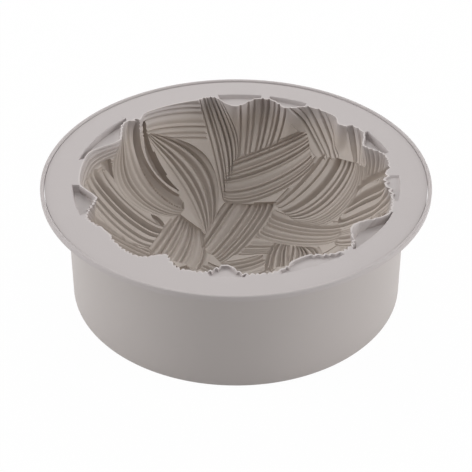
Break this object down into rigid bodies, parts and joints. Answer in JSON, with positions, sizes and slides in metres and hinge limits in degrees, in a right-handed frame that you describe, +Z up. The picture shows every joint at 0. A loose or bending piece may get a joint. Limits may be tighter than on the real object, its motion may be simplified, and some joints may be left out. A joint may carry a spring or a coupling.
{
  "type": "silicone cake mould",
  "caption": "Round silicone cake mould: a bowl sculpted inside with ribbed overlapping bands, hung in a flat beaded flange on a plain round skirt.",
  "frame": {"origin": "on the floor under the middle of the bowl", "axes": "+Z up out of the bowl's mouth, -Y towards the side that faces the picture's camera, +X to its right"},
  "size_m": [0.216, 0.216, 0.0712],
  "materials": {
    "silicone": "matt warm grey silicone rubber"
  },
  "bodies": {
    "root": {"skirt": "silicone", "flange": "silicone", "rim_bead": "silicone", "cavity_bowl": "silicone"}
  },
  "joints": []
}
